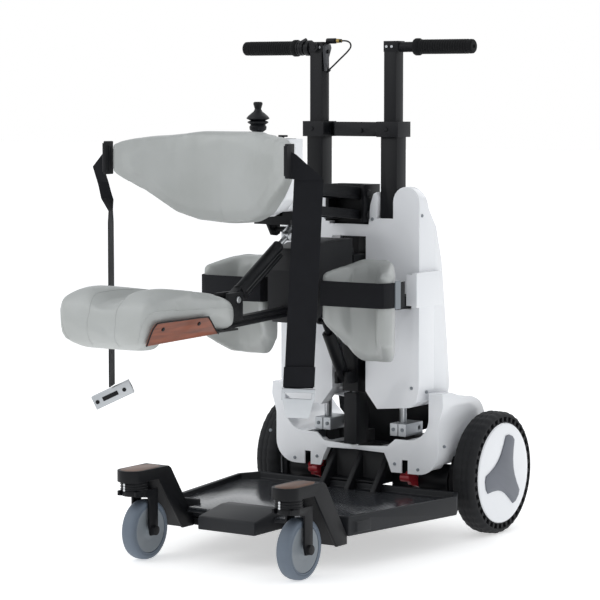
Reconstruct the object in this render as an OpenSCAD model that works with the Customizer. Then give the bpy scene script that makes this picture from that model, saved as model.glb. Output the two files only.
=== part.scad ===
// Powered sit-to-stand transfer lift with saddle seat, chest pad, knee cups and foot tray.
// Stations along Y are measured from the caster axle line. The module placed() then moves
// the whole object so that its origin is the centre of its footprint, on the floor.
// +X is the right-hand side, +Y points from the open foot end to the drive wheels, +Z is up.

/* [Wheels] */
// Distance from the caster axles to the drive wheel axles
wheelbase = 662; // [655:1:670]
// Outer radius of the solid drive tyres
drive_r = 134; // [132:1:136]
// Width of the drive tyres
tyre_w = 56; // [44:1:58]
// Half the width over both drive wheels
half_width = 286; // [284:1:292]
// Outer radius of the caster wheels
caster_r = 62.5; // [60:0.5:63]
// Width of the caster tyres
caster_w = 32; // [28:1:34]
// Half the distance between the caster stems
caster_x = 192; // [190:1:195]
// Caster trail, from stem to axle
trail = 35; // [33:1:36]

/* [Foot tray] */
// Height of the tray's rim above the floor
rim_z = 110; // [108:1:111]
// Height of the bottom of the tray's skirt
skirt_z = 70; // [66:1:72]
// Half the tray's width at its front edge
tray_front_w = 226; // [222:1:240]
// Half the tray's width at its widest
tray_rear_w = 284; // [278:1:286]
// Thickness of the rubber mat
mat_t = 4; // [3:0.5:5]

/* [Column] */
// Half the width of the column's shells
column_w = 178; // [176:1:180]
// Front face of the column
column_front = 480; // [478:1:481]
// Thickness of the moulded shells
wall = 4; // [3:0.5:4]
// Half the distance between the two masts
mast_x = 95; // [94:1:96]
// Side of the square outer mast tubes
mast_outer = 40; // [39:1:40]
// Side of the square inner mast tubes
mast_inner = 30; // [28:1:30]
// Radius of the two lift guide rods
rod_r = 8; // [7.5:0.5:8]

/* [Handles] */
// Height of the handle bar axis
handle_z = 1058; // [1056:1:1060]
// Half the span over both grips
handle_x = 293; // [290:1:302]
// Radius of the foam grips
grip_r = 15.5; // [14:0.5:16]

/* [Lifting frame] */
// Pivot of the hub on the column: station
hub_pivot_y = 455; // [454:1:456]
// Pivot of the hub on the column: height
hub_pivot_z = 600; // [599:1:601]
// Length of the two parallel arms along Y
arm_run = 265; // [264:1:266]
// Rise of the two parallel arms towards their front ends
arm_rise = 26; // [25:1:27]
// Radius of the support strut's tube
strut_r = 12; // [11:0.5:12]
// Half the width of the saddle seat
seat_w = 120; // [112:1:124]
// Width of the webbing belts
belt_w = 57; // [50:1:58]
// Lean of the right belt, in degrees
belt_lean = 2.8; // [0:0.1:6]

/* [Hidden] */
$fn = 48;

mid_y = 205;
run_clear = 0.05;
// Rubber-bushed play of the two floating pins
act_play = 2.1;
strut_play = 0.8;
loose = 0.5;
floor_z = 96;
mast_y = 508;
mast_top = 1048;
clamp_z0 = 866;
clamp_z1 = 899;
rod_x = 97.6;
rod_y = 548;
rod_top = 640;
seam_y = 545;
slot_w = 43;
arm_rear = [480, 744];
arm_gap = 46;
arm_half = 38;
hub_half = 40;
strut_low = [40, 545];
strut_top = [262, 676];
act_foot = [462, 345];
act_top = [372, 492];
screw_y = 504;
cap_z0 = 168;
cap_z1 = 192;
console_top = 868;
stick = [0, 136, 874];
toggle = [70, 124, 868];
axle_r = 9;

// ---------- helpers ----------
// The whole object, moved from its stations to its own origin
module placed() translate([0, -mid_y, 0]) children();
// A side profile given as [y, z] points, w wide and centred on x = 0
module side(w) rotate([90, 0, 90]) linear_extrude(w, center = true) children();
// A side profile from x = x0 to x = x1
module side_from(x0, x1) translate([(x0 + x1) / 2, 0, 0]) side(x1 - x0) children();
// A front profile given as [x, z] points, from y = y0 to y = y1
module front_from(y0, y1) translate([0, y1, 0]) rotate([90, 0, 0]) linear_extrude(y1 - y0) children();
// A block between two corners
module block(a, b) translate(a) cube(b - a);
// Both sides of a pair
module both() for (s = [-1, 1]) scale_x(s) children();
module scale_x(s) if (s < 0) mirror([1, 0, 0]) children(); else children();
// A round bar along X
module bar_x(x0, x1, y, z, r) translate([x0, y, z]) rotate([0, 90, 0]) cylinder(h = x1 - x0, r = r);
// Points on an arc
function arc(c, r, a0, a1, n = 6) =
  [for (i = [0:n]) c + r * [cos(a0 + (a1 - a0) * i / n), sin(a0 + (a1 - a0) * i / n)]];
// A rectangle with round corners, centred
module round_rect(w, h, r) {
  square([w - 2 * r, h], center = true);
  square([w, h - 2 * r], center = true);
  for (sx = [-1, 1], sy = [-1, 1]) translate([sx * (w / 2 - r), sy * (h / 2 - r)]) circle(r);
}
// An extrusion between two heights
module linear_extrude_at(z0, z1) translate([0, 0, z0]) linear_extrude(z1 - z0) children();
// A straight bar in the side plane between two pivots, w wide and h high, with round ends
module link(p, q, w, h) {
  d = q - p;
  side(w) {
    translate(p) rotate(atan2(d[1], d[0])) translate([0, 0.4 - h / 2]) square([norm(d), h - 0.8]);
    translate(p) circle(h / 2);
    translate(q) circle(h / 2);
  }
}
// A round rod in the side plane between two points
module rod_yz(p, q, r) {
  d = q - p;
  translate([0, p[0], p[1]]) rotate([-atan2(d[0], d[1]), 0, 0]) cylinder(h = norm(d), r = r);
}
// Point at a distance t along the line from p to q
function along(p, q, t) = p + (q - p) * t / norm(q - p);
// A tube swept along points with k sides
module sweep(path, r, k = 8) {
  n = len(path);
  dirs = [for (i = [0:n - 1]) let (a = path[max(i - 1, 0)], b = path[min(i + 1, n - 1)]) (b - a) / norm(b - a)];
  side_v = [for (d = dirs) let (v = cross(d, [0, 1, 0])) v / norm(v)];
  points = [for (i = [0:n - 1]) for (j = [0:k - 1])
    let (a = 360 * j / k) path[i] + r * (cos(a) * side_v[i] + sin(a) * cross(dirs[i], side_v[i]))];
  walls = [for (i = [0:n - 2]) for (j = [0:k - 1])
    [i * k + j, (i + 1) * k + j, (i + 1) * k + (j + 1) % k, i * k + (j + 1) % k]];
  ends = [[for (j = [0:k - 1]) j], [for (j = [k - 1:-1:0]) (n - 1) * k + j]];
  polyhedron(points, concat(walls, ends));
}

// ---------- foot tray ----------
// Plan of the tray, drawn in by t
module tray_plan(t) polygon([
  [-(tray_front_w - t), 130 + t], [tray_front_w - t, 130 + t], [tray_rear_w - t, 462],
  [tray_rear_w - 26 - t * 0.8, 512 - t], [-(tray_rear_w - 26 - t * 0.8), 512 - t], [-(tray_rear_w - t), 462]
]);
module foot_tray() color("dimgray") placed() {
  rim = 9;
  difference() {
    translate([0, 0, skirt_z]) linear_extrude(rim_z - skirt_z) tray_plan(0);
    translate([0, 0, floor_z]) linear_extrude(20) tray_plan(rim);
    translate([0, 0, skirt_z - 1]) linear_extrude(19) tray_plan(rim);
    // The floor runs out to the threshold between the arms
    block([-150, 120, floor_z], [150, 140, 120]);
  }
  block([-150, 90, 89], [150, 131, floor_z]);
  // Tie lugs on the side walls
  both() linear_extrude_at(76, 98) polygon([[224, 144], [236, 146], [242, 190], [230, 192]]);
  // Raised threshold between the casters
  side(142) polygon([[20, 71], [20, 96], [24, 99], [100, 113], [131, 113], [131, 71]]);
}
module tray_mat() color("slategray") placed()
  linear_extrude_at(floor_z, floor_z + mat_t) {
    intersection() {
      tray_plan(11);
      translate([-300, 100]) square([600, 362]);
    }
    for (s = [-1, 1]) translate([s * 110.6, 116.5]) square([76, 50], center = true);
    translate([-148, 132]) square([296, 11]);
  }
module heel_guard() color("black") placed() {
  for (x = [-68, 0, 68]) side_from(x - 6, x + 6)
    polygon([[466, floor_z], [500.5, floor_z], [500.5, 111], [545, 111], [545, 176], [532, 176]]);
  block([-74, 532, 111], [74, 545, 176]);
  block([-74, 500.5, 111], [74, 545, 116]);
}

// ---------- caster arms ----------
module caster_arm() {
  // Deck over the caster, with a round nose, then a leg sloping back down to the tray
  difference() {
    union() {
      translate([0, 0, cap_z0]) linear_extrude(cap_z1 - cap_z0) {
        translate([caster_x, -42]) circle(30);
        translate([caster_x - 30, -42]) square([60, 64]);
      }
      side_from(caster_x - 30, caster_x + 30)
        polygon([[18, cap_z0], [18, cap_z1], [44, cap_z1], [52, 187], [130, 72], [130, 54], [100, 54], [32, cap_z0]]);
    }
    translate([caster_x, 0, cap_z1 - 2]) linear_extrude(3) inlay_plan();
    translate([caster_x, -trail, cap_z0 - 1]) cylinder(h = 15, r = 12);
  }
  // Ribs at the leg's edges
  for (x = [caster_x - 30, caster_x + 24]) side_from(x, x + 6)
    polygon([[12, cap_z0], [32, cap_z0], [100, 54], [92, 54]]);
  // Swivel plate and ball race under the deck
  translate([caster_x, -trail, 150]) difference() {
    cylinder(h = 18, r = 27);
    translate([0, 0, -1]) cylinder(h = 20, r = 12);
  }
}
// Plan of the leaf-shaped inlay
module inlay_plan() {
  translate([0, -40]) circle(25);
  polygon([[-25, -40], [25, -40], [25, 14], [14, 36], [-14, 36], [-25, 14]]);
}
module caster_arm_right() color("dimgray") placed() caster_arm();
module caster_arm_left() color("dimgray") placed() scale_x(-1) caster_arm();
module arm_inlays() color("tan") placed() both()
  translate([caster_x, 0, cap_z1 - 2]) linear_extrude(2.4) inlay_plan();
module caster_fork() {
  // Stem, crown and two legs with the axle bolt
  translate([caster_x, -trail, 138]) cylinder(h = 40, r = 12 - run_clear);
  translate([caster_x, -trail, 138]) cylinder(h = 11, r = 25);
  for (x = [-24, 19]) side_from(caster_x + x, caster_x + x + 5)
    polygon([[-60, 149], [14, 149], [14, 70], [9, 52], [-9, 52], [-14, 70], [-14, 132], [-60, 139]]);
  bar_x(caster_x - 27, caster_x + 28, 0, caster_r, 6 - run_clear);
  bar_x(caster_x + 24, caster_x + 31, 0, caster_r, 10);
  bar_x(caster_x - 31, caster_x - 24, 0, caster_r, 10);
}
module caster_fork_right() color("black") placed() caster_fork();
module caster_fork_left() color("black") placed() scale_x(-1) caster_fork();
// Section of the caster tyre as [radius, x]
module caster_tyre() translate([caster_x, 0, caster_r]) rotate([0, 90, 0]) rotate_extrude()
  polygon(concat(
    [[48, -caster_w / 2], [56, -caster_w / 2]], arc([56.5, -9.5], 6, -90, -10), arc([56.5, 9.5], 6, 10, 90),
    [[56, caster_w / 2], [48, caster_w / 2]]));
module caster_tyre_right() color("lightslategray") placed() caster_tyre();
module caster_tyre_left() color("lightslategray") placed() scale_x(-1) caster_tyre();
module caster_hub() translate([caster_x, 0, caster_r]) rotate([0, 90, 0]) difference() {
  union() {
    cylinder(h = caster_w - 4, r = 48, center = true);
    cylinder(h = 37, r = 11, center = true);
  }
  for (s = [-1, 1]) translate([0, 0, s * (caster_w / 2 - 2)]) difference() {
    cylinder(h = 4, r = 42, center = true);
    cylinder(h = 5, r = 11, center = true);
  }
  cylinder(h = 60, r = 6, center = true);
}
module caster_hub_right() color("silver") placed() caster_hub();
module caster_hub_left() color("silver") placed() scale_x(-1) caster_hub();

// ---------- chassis ----------
module base_frame() color("black") placed() {
  // Rails under the tray, from the caster legs to the axle beam
  both() block([150, 140, 69], [186, 503, 87]);
  both() block([150, 130, 55], [186, 180, 70]);
  block([-186, 140, 71], [186, 176, 87]);
  block([-186, 470, 71], [186, 502, 87]);
  both() block([150, 500, 56], [186, 560, 70]);
  both() block([150, 501, 56], [186, 503, 80]);
  block([-200, 640, 92], [200, 690, 128]);
  both() block([70, 548, 92], [116, 690, 128]);
  both() block([70, 548, 56], [186, 560, 92]);
  // Pedestals of the guide rods and of the lift drive
  both() block([80, 566, 128], [116, 600, 216]);
  block([-70, 566, 110], [70, 600, 128]);
  block([-30, 566, 128], [30, 600, 190]);
  // Dark closing plate behind the guide rods
  front_from(642, 646) polygon([
    [-54, 127], [54, 127], [54, 205], [98, 218], [128, 250], [134, 300], [-134, 300], [-128, 250], [-98, 218],
    [-54, 205]]);
}
// Front outline of the lower shell, drawn in by t
module base_front(t) polygon(concat(
  [[-1, 182 + t], [74 + t, 180 + t], [84 + t, 160], [92 + t, 139 + t]],
  arc([160, 189], 50 - t, -90, 0, 8),
  [[210 - t, 250], [222 - t, 290], [220 - t, 318 - t], [186 + t, 318 - t], [186 + t, 290]],
  arc([136, 262], 50 + t, 0, -86, 8),
  [[102, 212 - t], [82, 195 - t], [-1, 190 - t]]));
// Side outline of the lower shell, drawn in by t
module base_side(t) polygon(concat(
  [[508 + t, 130 + t]], [[508 + t, 320]], [[540, 320 - t], [590, 306 - t]],
  arc([600, 170], 136 - t, 75, 0, 10), [[736 - t, 130 + t]]));
module base_shell() color("white") placed() both() difference() {
  intersection() {
    front_from(508, 740) base_front(0);
    side_from(-1, 240) base_side(0);
  }
  intersection() {
    front_from(508 + wall, 736) base_front(wall);
    side_from(0, 240) base_side(wall);
  }
  // Open underside
  block([88, 512, 130], [206, 732, 150]);
  // Slot over the release lever
  block([118, 500, 130], [134, 520, 168]);
  // Clearance round the motors, the pedestals, the rod clamps and the lift drive
  block([120, 550, 130], [208, 632, 160]);
  block([74, 526, 120], [122, 622, 330]);
  block([60, 512, 200], [130, 620, 330]);
  block([-2, 512, 170], [60, 740, 330]);
}
module guide_rods() color("silver") placed() both()
  translate([rod_x, rod_y, 216]) cylinder(h = rod_top - 216, r = rod_r);
module rod_clamps() color("gainsboro") placed() both() difference() {
  block([rod_x - 20, 526, 216], [rod_x + 20, 598, 243]);
  translate([rod_x, rod_y, 210]) cylinder(h = 40, r = rod_r + run_clear);
  translate([rod_x - 30, 583, 230]) rotate([0, 90, 0]) cylinder(h = 60, r = 5);
  block([rod_x - 1, 520, 210], [rod_x + 1, 541, 250]);
}
module lift_drive() color("black") placed() {
  difference() {
    side(32) polygon([[486, 196], [486, 308], [520, 308], [530, 296], [536, 276], [536, 226], [530, 196]]);
    translate([0, screw_y, 250]) cylinder(h = 80, r = 7 + run_clear);
  }
  block([-15, 528, 196], [15, 565, 222]);
}
module lift_screw() color("silver") placed() translate([0, screw_y, 251]) cylinder(h = 369, r = 7);
module drive_units() color("gray") placed() both() {
  // Motor, gear case and the wheel's stub axle
  bar_x(132, 205, 590, 118, 36);
  bar_x(205, 212, 590, 118, 30);
  side_from(211.2, 225.5) polygon(concat(
    arc([wheelbase, drive_r], 44, -90, 90, 10), [[570, 176], [552, 150], [552, 72], [570, 58]]));
  bar_x(225, 276, wheelbase, drive_r, axle_r - run_clear);
}
module battery_pack() color("darkslategray") placed() both() block([128, 624, 168], [188, 716, 204]);

// ---------- drive wheels ----------
tyre_x0 = half_width - tyre_w - 3;
module wheel_tyre() translate([0, wheelbase, drive_r]) rotate([0, 90, 0]) rotate_extrude($fn = 96)
  polygon(concat(
    [[110, tyre_x0 + 3], [117, tyre_x0 + 1.5]], arc([drive_r - 18, tyre_x0 + 18], 18, -70, 0, 4),
    arc([drive_r - 18, tyre_x0 + tyre_w - 18], 18, 0, 70, 4), [[117, tyre_x0 + tyre_w - 1.5], [110, tyre_x0 + tyre_w - 3]]));
module wheel_tyre_right() color("black") placed() wheel_tyre();
module wheel_tyre_left() color("black") placed() scale_x(-1) wheel_tyre();
module wheel_hub() {
  translate([0, wheelbase, drive_r]) rotate([0, 90, 0]) difference() {
    rotate_extrude($fn = 96) polygon([
      [0, tyre_x0 + 8], [30, tyre_x0 + 8], [40, tyre_x0 + 22], [102, tyre_x0 + 22], [102, tyre_x0 + 3],
      [110, tyre_x0 + 3], [110, half_width - 4], [106, half_width], [0, half_width]]);
    translate([0, 0, tyre_x0]) cylinder(h = 278 - tyre_x0, r = axle_r);
  }
  // Raised three-arm star on the outer face
  translate([half_width - 1, wheelbase, drive_r]) rotate([90, 0, 90]) linear_extrude(4) polygon(
    [for (a = [72, 192, 312], c = [[84, -13], [84, 13], [42, 60]]) c[0] * [cos(a + c[1]), sin(a + c[1])]]);
}
module wheel_hub_right() color("whitesmoke") placed() wheel_hub();
module wheel_hub_left() color("whitesmoke") placed() scale_x(-1) wheel_hub();
module release_lever() {
  // Clutch lever on the motor's inner end, with a thumb tab
  bar_x(124, 131.5, 590, 118, 26);
  side_from(122, 131) polygon([[566, 118], [600, 92], [530, 112], [516, 136], [522, 142], [545, 132]]);
  bar_x(108, 131, 526, 127, 9);
}
module release_lever_right() color("darkred") placed() release_lever();
module release_lever_left() color("darkred") placed() scale_x(-1) release_lever();

// ---------- column ----------
// Front outline of the right half of the column, drawn in by t
module column_half(t) polygon(concat(
  [[slot_w + t, 316], [slot_w + 30, 279 + t], [154, 287 + t]], [[column_w - 6 - t, 300 + t], [column_w - t, 330]],
  arc([column_w - 33, 728], 33 - t, 0, 180, 12),
  [[112 + t, 692 - t], [70, 692 - t]],
  t == 0 ? [[74, 736], [70, 748], [62, 744], [54, 720]] : [[70, 688], [54 + t, 688]],
  [[slot_w + 7 + t, 678 - t], [slot_w + t, 652]]));
// Side outline of the column, drawn in by t
module column_side(t) polygon([
  [column_front + t, 270], [column_front + t, 770], [498 - t, 770], [519 - t, 713], [549 - t, 675], [573 - t, 601],
  [598 - t, 423], [612 - t, 309], [612 - t, 270]]);
module column_outer() both() intersection() {
  front_from(470, 620) column_half(0);
  side_from(0, 200) column_side(0);
}
module column_inner() both() intersection() {
  front_from(column_front + wall, 620) column_half(wall);
  side_from(0, 200) column_side(wall);
}
module column_front_shell() color("white") placed() {
  difference() {
    union() {
      column_outer();
      block([-slot_w - 6, column_front, 652], [slot_w + 6, column_front + wall, 678]);
    }
    column_inner();
    block([-200, seam_y, 200], [200, 640, 800]);
    mast_cutout();
    // Inner cheeks stop short of the arms' yoke
    block([-58, 512, 640], [58, 640, 800]);
    block([-slot_w - 5, 512, 270], [slot_w + 5, 640, 700]);
    block([-120, 512, 270], [120, 640, 300]);
    bearing_cutout();
    both() block([138, 470, 500], [158, 520, 532]);
  }
  // Side pods
  both() block([column_w, 450, 506], [column_w + 12, 556, 580]);
  both() block([column_w - 14, 450, 510], [column_w, 480, 576]);
}
module mast_cutout() both() block([mast_x - 21, 486, 680], [mast_x + 21, 540, 800]);
module bearing_cutout() block([-118, 524, 325], [118, 568, 364]);
module column_rear_shell() color("white") placed() difference() {
  union() {
    difference() {
      column_outer();
      column_inner();
      block([-200, 400, 200], [200, seam_y, 800]);
      block([-slot_w - 5, 540, 270], [slot_w + 5, 566, 800]);
    }
    // Panel that closes the back between the halves
    intersection() {
      block([-60, 568, 330], [60, 640, 606]);
      difference() {
        side(120) column_side(0);
        side(118) column_side(wall);
      }
    }
  }
  block([-130, 540, 270], [130, 606, 300]);
  bearing_cutout();
}
module column_spine() color("black") placed() {
  // Square spine with the lift nut at its foot
  difference() {
    union() {
      block([-20, 486, 312], [20, 528, 676]);
      block([-49, 500, 676], [49, 528, 764]);
      both() block([41, 462, 684], [49, 502, 764]);
      // Lugs of the hub's pivot
      both() block([24, 441, 586], [37, 488, 614]);
      both() block([8, 478, 586], [37, 488, 614]);
      // Foot lugs of the lifting actuator
      both() block([9, 448, 332], [16, 487, 358]);
    }
    block([-15, 490, 334], [15, 523, 660]);
    translate([0, screw_y, 300]) cylinder(h = 60, r = 7 + run_clear);
  }
  bar_x(-37, 37, hub_pivot_y, hub_pivot_z, 10);
  bar_x(-16, 16, act_foot[0], act_foot[1], 5);
  bar_x(-49, 49, arm_rear[0], arm_rear[1], 7);
  bar_x(-49, 49, arm_rear[0], arm_rear[1] - arm_gap, 7);
  // Cross members that join the masts and hold the linear bearings
  for (z = [330, 590]) difference() {
    block([-116, 528, z], [116, 560, z + 30]);
    both() translate([rod_x, rod_y, z - 1]) cylinder(h = 32, r = rod_r + run_clear);
  }
}
module outer_masts() color("black") placed() both() {
  mast_tube();
  // Bracket of the knee cup
  block([mast_x + 18, 488, 502], [156, 500, 530]);
  block([140, 370, 502], [156, 500, 530]);
  block([128, 362, 492], [168, 370, 540]);
}
module mast_tube() difference() {
  block([mast_x - mast_outer / 2, mast_y - mast_outer / 2, 372],
        [mast_x + mast_outer / 2, mast_y + mast_outer / 2, clamp_z1 - 2]);
  block([mast_x - mast_inner / 2 - loose, mast_y - mast_inner / 2 - loose, 376],
        [mast_x + mast_inner / 2 + loose, mast_y + mast_inner / 2 + loose, 920]);
}
module mast_clamp() color("black") placed() {
  both() difference() {
    block([mast_x - 27, mast_y - 26, clamp_z0], [mast_x + 27, mast_y + 26, clamp_z1]);
    block([mast_x - mast_outer / 2, mast_y - mast_outer / 2, 860],
          [mast_x + mast_outer / 2, mast_y + mast_outer / 2, 920]);
  }
  translate([0, 0, clamp_z0 + 1]) linear_extrude(clamp_z1 - clamp_z0 - 2)
    polygon([[-69, 526], [-69, 520], [-48, 496], [68, 496], [68, 502], [-45, 502]]);
  translate([20, 497, 880]) rotate([90, 0, 0]) cylinder(h = 5, r = 5);
}

// ---------- knee cups ----------
// Cup section in plan, open towards the user, from the pad's back to its wings
module knee_slab(x, y, w, z0, z1) block([x - w / 2, y - 12, z0], [x + w / 2, y + 12, z1]);
module knee_pad() {
  hull() {
    knee_slab(150, 346, 60, 396, 616);
    knee_slab(186, 330, 16, 400, 614);
  }
  hull() {
    knee_slab(150, 346, 60, 396, 616);
    knee_slab(106, 330, 16, 420, 606);
  }
  hull() {
    knee_slab(192, 326, 20, 400, 612);
    knee_slab(221, 268, 18, 440, 592);
  }
  hull() {
    knee_slab(100, 326, 20, 430, 604);
    knee_slab(84, 268, 18, 486, 588);
  }
}
module knee_pad_right() color("lightgray") placed() knee_pad();
module knee_pad_left() color("lightgray") placed() scale_x(-1) knee_pad();
module knee_straps() color("black") placed() both() {
  block([72, 249, 518], [236, 253, 574]);
  block([232, 253, 518], [236, 330, 574]);
}

// ---------- attendant handles ----------
module inner_mast() {
  difference() {
    block([mast_x - mast_inner / 2, mast_y - mast_inner / 2, 620],
          [mast_x + mast_inner / 2, mast_y + mast_inner / 2, mast_top]);
    block([mast_x - mast_inner / 2 + 3, mast_y - mast_inner / 2 + 3, 619],
          [mast_x + mast_inner / 2 - 3, mast_y + mast_inner / 2 - 3, mast_top - 3]);
  }
  // Head clamp and handle bar
  block([mast_x - 17, mast_y - 14, mast_top], [mast_x + 19, mast_y + 14, 1071]);
  bar_x(mast_x + 19, handle_x - 3, mast_y, handle_z, 11);
}
module inner_mast_right() color("black") placed() inner_mast();
module inner_mast_left() color("black") placed() {
  scale_x(-1) inner_mast();
  // Lever perch and cable adjuster
  bar_x(-146, -132, mast_y, handle_z, 15.5);
  bar_x(-128, -117, mast_y, handle_z, 17);
  bar_x(-81, -71, 509, 1050, 4);
  bar_x(-79, -57, 514, 1073, 6);
  bar_x(-57, -42, 514, 1073, 4);
  // Socket of the cable on the mast
  translate([-81, 516, 1006]) rotate([0, 50, 0]) cylinder(h = 9, r = 4);
}
module grip() difference() {
  union() {
    bar_x(163, handle_x, mast_y, handle_z, grip_r);
    bar_x(151, 163, mast_y, handle_z, 18);
  }
  bar_x(150, handle_x - 3, mast_y, handle_z, 11);
  bar_x(handle_x - 4, handle_x + 1, mast_y, handle_z, 3);
}
module grip_right() color("black") placed() grip();
module grip_left() color("black") placed() scale_x(-1) grip();
module brake_lever() color("black") placed() difference() {
  side_from(-77.5, -74) polygon([[493, 1062], [499, 1066], [521, 1066], [524, 1058], [512, 1032], [506, 1008], [498, 1008]]);
  bar_x(-80, -70, 509, 1050, 4 + run_clear);
}
cable_path = [
  [-42, 514, 1073], [-34, 514, 1073], [-27, 514, 1072], [-21, 514, 1069], [-18, 514, 1064], [-19, 514, 1058],
  [-25, 514, 1051], [-34, 514, 1043], [-44, 514, 1035], [-54, 514.5, 1027], [-64, 515, 1019], [-71.5, 516, 1013.5]
];
module brake_cable() color("black") placed() {
  sweep(cable_path, 1.8);
}

// ---------- lifting frame: hub, rail and seat ----------
module hub_housing() color("black") placed() {
  difference() {
    union() {
      side(hub_half * 2) polygon([
        [228, 505], [228, 592], [262, 636], [300, 646], [432, 650], [432, 560], [400, 524], [330, 508],
        [290, 481], [246, 481]]);
      side(44) polygon([[430, 560], [430, 640], [462, 628], [472, 606], [468, 584], [450, 566]]);
      // Lug of the lifting actuator
      side(14) polygon([[350, 520], [388, 520], [384, 486], [372, 481], [360, 486]]);
    }
    bar_x(-60, 60, hub_pivot_y, hub_pivot_z, 10 + run_clear);
    bar_x(-20, 20, act_top[0], act_top[1], 4.5 + act_play);
    // Room for the actuator's fork
    both() block([7, 350, 470], [22, 396, 506]);
  }
}
module seat_rail() color("black") placed() {
  difference() {
    side(20) polygon([[-236, 477], [-236, 497], [228, 516], [228, 496]]);
    // Grooves along both flanks
    both() side_from(7, 12) polygon([[-240, 484], [-240, 490], [232, 509], [232, 503]]);
  }
  // Seat plate and the strut's clevis
  block([-96, -300, 497.4], [96, -70, 501.4]);
  both() block([11, 6, 504], [17, 58, 560]);
  block([-17, 6, 504], [17, 30, 520]);
  bar_x(-17, 17, strut_low[0], strut_low[1], 6);
}
module seat_cushion() color("lightgray") placed() intersection() {
  side(260) polygon([
    [-386, 532], [-378, 494], [-352, 484], [-304, 484], [-304, 503], [-90, 503.4], [-36, 507.5], [-28, 520], [-44, 538],
    [-96, 558], [-150, 569], [-220, 579], [-300, 589], [-350, 588], [-378, 566]]);
  front_from(-390, 20) polygon([
    [-seat_w, 554], [-seat_w, 541], [22 - seat_w, 496], [-76, 483], [76, 483], [seat_w - 22, 496], [seat_w, 541],
    [seat_w, 554], [106, 577], [76, 590], [44, 584], [20, 562], [-20, 562], [-44, 584], [-76, 590], [-106, 577]]);
  translate([0, 0, 470]) linear_extrude(130) {
    polygon([[-seat_w, -356], [-96, -386], [96, -386], [seat_w, -356], [seat_w, -160], [-seat_w, -160]]);
    translate([0, -160]) scale([1, 132 / seat_w]) circle(seat_w);
  }
}
// The panels lean in towards their lower edge, along the cushion's flanks
module seat_side_panels() color("sienna") placed() both()
  translate([seat_w + 0.5, 0, 541]) rotate([0, 26, 0]) side_from(0, 3.6) polygon(concat(
    [[-371, -53], [-372, -20]], arc([-358, -18], 14, 180, 90, 4), [[-212, -4], [-198, -9], [-160, -38], [-146, -47]]));
module strut_tube() color("black") placed() {
  difference() {
    union() {
      rod_yz(along(strut_low, strut_top, 30), along(strut_low, strut_top, 196), strut_r);
      link(strut_low, along(strut_low, strut_top, 32), 18, 20);
      // Slim gas spring beside the tube
      translate([0, 14, -17]) rod_yz(along(strut_low, strut_top, 34), along(strut_low, strut_top, 190), 5);
      link(along(strut_low, strut_top, 40), along(strut_low, strut_top, 40) + [14, -17], 10, 10);
    }
    rod_yz(along(strut_low, strut_top, 60), along(strut_low, strut_top, 200), 8);
    bar_x(-30, 30, strut_low[0], strut_low[1], 6 + run_clear);
  }
}
module strut_rod() color("silver") placed() difference() {
  union() {
    rod_yz(along(strut_low, strut_top, 110), along(strut_low, strut_top, 244), 5.5);
    link(along(strut_low, strut_top, 236), strut_top, 16, 22);
  }
  bar_x(-30, 30, strut_top[0], strut_top[1], 6 + strut_play);
}
module actuator_tube() color("black") placed() difference() {
  union() {
    rod_yz(along(act_foot, act_top, 29), along(act_foot, act_top, 120), 14);
    link(act_foot, along(act_foot, act_top, 30), 16, 22);
  }
  rod_yz(along(act_foot, act_top, 44), along(act_foot, act_top, 130), 9);
  bar_x(-30, 30, act_foot[0], act_foot[1], 5 + run_clear);
}
module actuator_rod() color("silver") placed() difference() {
  union() {
    rod_yz(along(act_foot, act_top, 50), along(act_foot, act_top, 152), 6.5);
    both() side_from(9, 15) {
      translate(act_top) circle(10);
      translate(along(act_foot, act_top, 152)) circle(8);
      translate(along(act_foot, act_top, 160)) circle(9);
    }
    side(30) translate(along(act_foot, act_top, 149)) circle(6);
    bar_x(-15, 15, act_top[0], act_top[1], 4.5);
  }
}

// ---------- parallel arms and console ----------
arm_front = arm_rear + [-arm_run, arm_rise];
// Two flat bars between the same pivots, joined by two cross tubes
module arm(drop, h) {
  p = arm_rear - [0, drop];
  q = arm_front - [0, drop];
  difference() {
    union() {
      both() translate([arm_half - 6, 0, 0]) link(p, q, 12, h);
      for (t = [70, 180]) bar_x(-arm_half + 5, arm_half - 5, along(p, q, t)[0], along(p, q, t)[1], 6);
    }
    bar_x(-60, 60, p[0], p[1], 7 + run_clear);
    bar_x(-60, 60, q[0], q[1], 7 + run_clear);
  }
}
module arm_upper() color("black") placed() arm(0, 27);
module arm_lower() color("black") placed() arm(arm_gap, 20);
module carrier() color("black") placed() {
  both() side_from(arm_half + 1.5, arm_half + 7.5) polygon([
    [196, 712], [228, 690], [246, 664], [262, 662], [274, 666], [274, 686], [232, 704], [232, 790], [196, 790]]);
  block([-45, 186, 690], [45, 196, 790]);
  block([-78, 180, 700], [78, 186, 800]);
  for (drop = [0, arm_gap]) bar_x(-45, 45, arm_front[0], arm_front[1] - drop, 7);
  bar_x(-45, 45, strut_top[0], strut_top[1], 6);
}
module console_housing() color("white") placed() difference() {
  block([-94, 112, 800], [94, 160, console_top]);
  block([-90, 116, 796], [90, 156, console_top - 4]);
  translate([stick[0], stick[1], 850]) cylinder(h = 30, r = 14);
  block([toggle[0] - 6, toggle[1] - 4, 850], [toggle[0] + 6, toggle[1] + 4, 880]);
}
// Front face of the chest pad at a distance x from the middle
function pad_y(x) = 16 - 98 * pow(x / 211, 2);
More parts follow.
